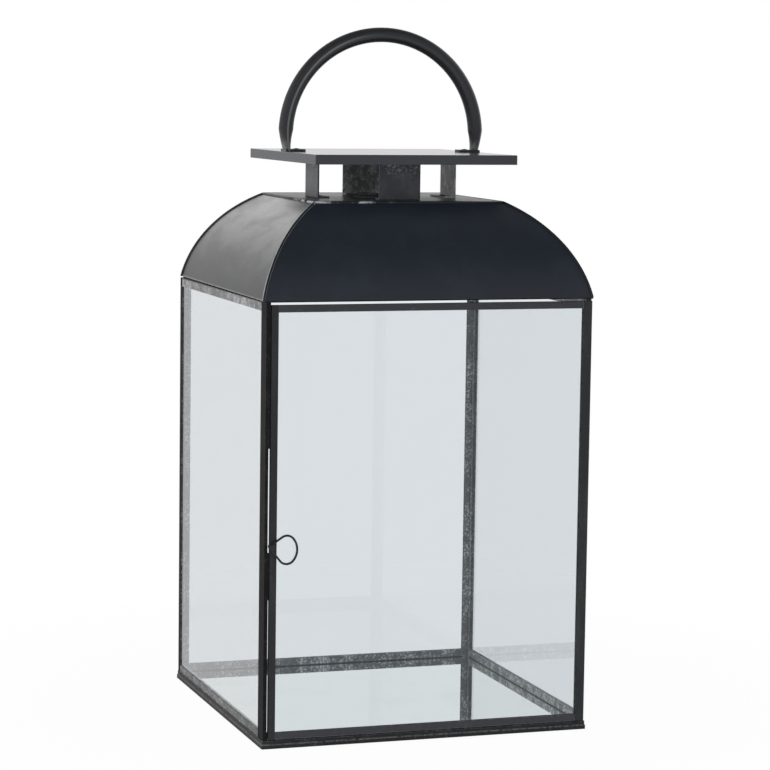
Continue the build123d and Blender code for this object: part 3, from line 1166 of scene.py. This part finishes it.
@dataclass
class Roof:
    """The hipped roof, the ring under it, its flat crown and the soldered seams on it.

    Sizes are in millimetres, and the turn about the lantern's axis is in degrees.
    """

    wardrobe: Wardrobe
    foot_half: float = 124.3
    crown_half: float = 72.5
    low: float = 321.6
    high: float = 388.5
    bulge: float = 9.6
    turn: float = -0.8
    seam_radius: float = 1.1
    seam_sides: int = 10
    seam_steps: int = 28
    corners: tuple[tuple[int, int], ...] = ((-1, -1), (1, -1), (1, 1), (-1, 1))

    def dress(self) -> None:
        """Give the sheets their patina and lay the seams."""
        self.wardrobe.dress_nodes(["roof_left_panel", "roof_back_panel"], Coat.ROOF)
        self.wardrobe.dress_nodes(["roof_front_panel", "roof_right_panel"], Coat.ROOF_SMOOTH)
        self.wardrobe.dress_nodes(["roof_crown_plate"], Coat.CROWN)
        self.wardrobe.dress_nodes(["eave_ring"], Coat.RING)
        self.build_seams()

    def hip(self, step: float) -> tuple[float, float]:
        """Point of the roof's curved outline.

        Args:
            step: 0 at the foot, 1 at the crown.

        Returns:
            Distance of the panel from the middle, and height, in millimetres.
        """
        run, rise = self.foot_half - self.crown_half, self.high - self.low
        chord = math.hypot(run, rise)
        radius = (chord**2 / 4 + self.bulge**2) / (2 * self.bulge)
        half_turn = math.asin(chord / 2 / radius)
        along = radius * math.sin((2 * step - 1) * half_turn) + chord / 2
        above = radius * math.cos((2 * step - 1) * half_turn) - radius + self.bulge
        return (
            self.foot_half - along * run / chord + above * rise / chord,
            self.low + along * rise / chord + above * run / chord,
        )

    def corner_point(self, corner: tuple[int, int], half: float, height: float) -> Vector:
        """Point on one of the roof's hips.

        Args:
            corner: Which way the hip lies from the middle, along X and Y.
            half: Distance of the panels from the middle in millimetres.
            height: Height in millimetres.

        Returns:
            The point in metres.
        """
        turn = Matrix.Rotation(math.radians(self.turn), 4, "Z")
        return turn @ Vector((corner[0] * half, corner[1] * half, height)) * MM

    def build_seams(self) -> None:
        """Lay a bead along each hip and along each edge of the crown."""
        hips = [self.hip(step / self.seam_steps) for step in range(self.seam_steps + 1)]
        followers = self.corners[1:] + self.corners[:1]
        for number, ends in enumerate(zip(self.corners, followers)):
            hip = [self.corner_point(ends[0], *point) for point in hips]
            edge = [self.corner_point(end, self.crown_half, self.high) for end in ends]
            self.bead(f"hip_seam_{number}", hip, Coat.SEAM if number else Coat.LIT_SEAM)
            self.bead(f"crown_seam_{number}", edge, Coat.CROWN_SEAM)

    def bead(self, name: str, path: Sequence[Vector], coat: Coat) -> None:
        """Lay one bead along a path.

        Args:
            name: The piece's name.
            path: Points in metres that the bead's middle runs through.
            coat: The coat it wears.
        """
        bead = bar(name, path, self.seam_radius * MM, self.seam_sides)
        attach(bead, "body")
        self.wardrobe.dress(bead, coat)


@dataclass
class Cap:
    """The raised cap on its straps, and the handle on the cap."""

    wardrobe: Wardrobe

    def dress(self) -> None:
        """Paint the straps, the cap, the handle and their rivets."""
        self.wardrobe.dress_nodes(["vent_strap_front", "strap_rivets"], Coat.STRAP)
        self.wardrobe.dress_nodes(["vent_strap_left"], Coat.LIT_SIDE_STRAP)
        self.wardrobe.dress_nodes(["vent_strap_back"], Coat.DUSTY_STRAP)
        self.wardrobe.dress_nodes(["vent_strap_right"], Coat.LIT_DUSTY_STRAP)
        self.wardrobe.dress_nodes(["cap_plate"], Coat.PLATE)
        self.wardrobe.dress_nodes(["handle", "handle_rivets"], Coat.TUBE)


@dataclass(frozen=True)
class Floor:
    """The pale floor, a hair below the object's foot, in metres."""

    width: float = 12.0
    drop: float = 0.0003
    finish: PaleFloor = PaleFloor("pale_floor")

    def build(self) -> None:
        """Lay the floor."""
        shape = bmesh.new()
        bmesh.ops.create_grid(shape, x_segments=1, y_segments=1, size=self.width / 2)
        bmesh.ops.translate(shape, verts=shape.verts, vec=(0.0, 0.0, -self.drop))
        floor = stand("floor", shape)
        floor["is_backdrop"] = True
        floor.data.materials.append(self.finish.material())


@dataclass(frozen=True)
class Room:
    """The white room: plain where it is seen, soft as fill, and in gloss dimmer on three sides.

    A gloss is what the room shows there, and an edge is where one part gives way to the next, in
    parts of the direction's length.
    """

    fill: float = 0.45
    front_gloss: float = 0.4
    left_gloss: float = 0.58
    overhead_gloss: float = 0.15
    right_edge: Span = (-0.45, 0.0)
    back_edge: Span = (-0.45, 0.35)
    overhead_edge: Span = (0.45, 0.8)

    def build(self) -> None:
        """Make the room the scene's world."""
        world = bpy.data.worlds.new("white_room")
        world.use_nodes = True
        bpy.context.scene.world = world
        bench = NodeBench(world.node_tree)
        direction = bench.axes(bench.make("ShaderNodeTexCoord").outputs["Generated"])
        edges = (self.right_edge, self.back_edge, self.overhead_edge)
        right, back, overhead = (part.step(*edge) for part, edge in zip(direction, edges))
        side = right * (1.0 - self.left_gloss) + self.left_gloss
        walls = back * (side - self.front_gloss) + self.front_gloss
        gloss = walls * (1.0 - overhead * (1.0 - self.overhead_gloss))
        glossy, seen = bench.ray("Glossy"), bench.seen()
        shown = glossy * gloss + (1.0 - glossy)
        strength = seen * shown + (1.0 - seen) * self.fill
        inputs = {"Color": WHITE, "Strength": strength}
        background = bench.make("ShaderNodeBackground", {}, inputs)
        bench.make("ShaderNodeOutputWorld", {}, {"Surface": background.outputs[0]})


@dataclass(frozen=True)
class Lamp:
    """One square soft lamp: its place and width in metres and its power in watts."""

    name: str
    place: Triple
    width: float
    power: float
    colour: Colour = WHITE

    def build(self, target: Vector) -> None:
        """Hang the lamp and turn it to a point.

        Args:
            target: The point that it faces.
        """
        data = bpy.data.lights.new(self.name, "AREA")
        data.shape = "SQUARE"
        data.size = self.width
        data.energy = self.power
        data.color = self.colour
        lamp = bpy.data.objects.new(self.name, data)
        lamp.visible_camera = False
        lamp.visible_glossy = False
        lamp.location = self.place
        lamp.rotation_mode = "QUATERNION"
        lamp.rotation_quaternion = (target - lamp.location).to_track_quat("-Z", "Y")
        bpy.context.scene.collection.objects.link(lamp)


@dataclass(frozen=True)
class Viewpoint:
    """Where the photograph was taken from, in metres and radians, and the lens in pixels."""

    place: Triple = (-0.66382, -2.01728, 0.48214)
    yaw: float = -0.32044
    pitch: float = -0.11059
    roll: float = 0.01387
    focal_pixels: float = 2804.0
    image_pixels: float = 770.0
    sensor_width: float = 36.0
    sight: float = 50.0

    def build(self) -> None:
        """Stand the camera there."""
        level_right = Vector((math.cos(self.yaw), math.sin(self.yaw), 0.0))
        level_ahead = Vector((-math.sin(self.yaw), math.cos(self.yaw), 0.0))
        vertical = Vector((0.0, 0.0, 1.0))
        ahead = math.cos(self.pitch) * level_ahead + math.sin(self.pitch) * vertical
        level_up = -math.sin(self.pitch) * level_ahead + math.cos(self.pitch) * vertical
        right = math.cos(self.roll) * level_right + math.sin(self.roll) * level_up
        up = -math.sin(self.roll) * level_right + math.cos(self.roll) * level_up
        data = bpy.data.cameras.new("camera")
        data.sensor_width = self.sensor_width
        data.lens = self.focal_pixels * self.sensor_width / self.image_pixels
        data.clip_end = self.sight
        camera = bpy.data.objects.new("camera", data)
        turn = Matrix((right, up, -ahead)).transposed().to_4x4()
        camera.matrix_world = Matrix.Translation(self.place) @ turn
        bpy.context.scene.collection.objects.link(camera)
        bpy.context.scene.camera = camera


@dataclass(frozen=True)
class Studio:
    """Everything around the object."""

    floor: Floor = Floor()
    room: Room = Room()
    lamps: tuple[Lamp, ...] = (
        Lamp("left_softbox", (-1.7, 0.35, 0.8), 1.4, 15.0),
        Lamp("front_fill", (0.3, -2.6, 1.45), 2.0, 13.5, (0.64, 0.79, 1.0)),
    )
    viewpoint: Viewpoint = Viewpoint()

    def build(self) -> None:
        """Lay the floor, whiten the room, hang the lamps and stand the camera."""
        bpy.context.scene.view_settings.view_transform = "Standard"
        self.floor.build()
        self.room.build()
        low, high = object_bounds()
        for lamp in self.lamps:
            lamp.build((low + high) / 2)
        self.viewpoint.build()


def main() -> None:
    """Dress the lantern and set up the studio round it."""
    logging.basicConfig(level=logging.INFO, format="%(name)s: %(message)s")
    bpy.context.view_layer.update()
    wardrobe = Wardrobe()
    assemblies = [
        Base(wardrobe),
        FixedPanel(wardrobe, "left", ("front", "back")),
        FixedPanel(wardrobe, "right", ("front", "back")),
        FixedPanel(wardrobe, "back", ("left", "right")),
        Door(wardrobe),
        Roof(wardrobe),
        Cap(wardrobe),
    ]
    for assembly in assemblies:
        assembly.dress()
        LOG.info("%s done", type(assembly).__name__)
    Studio().build()


if __name__ == "__main__":
    main()
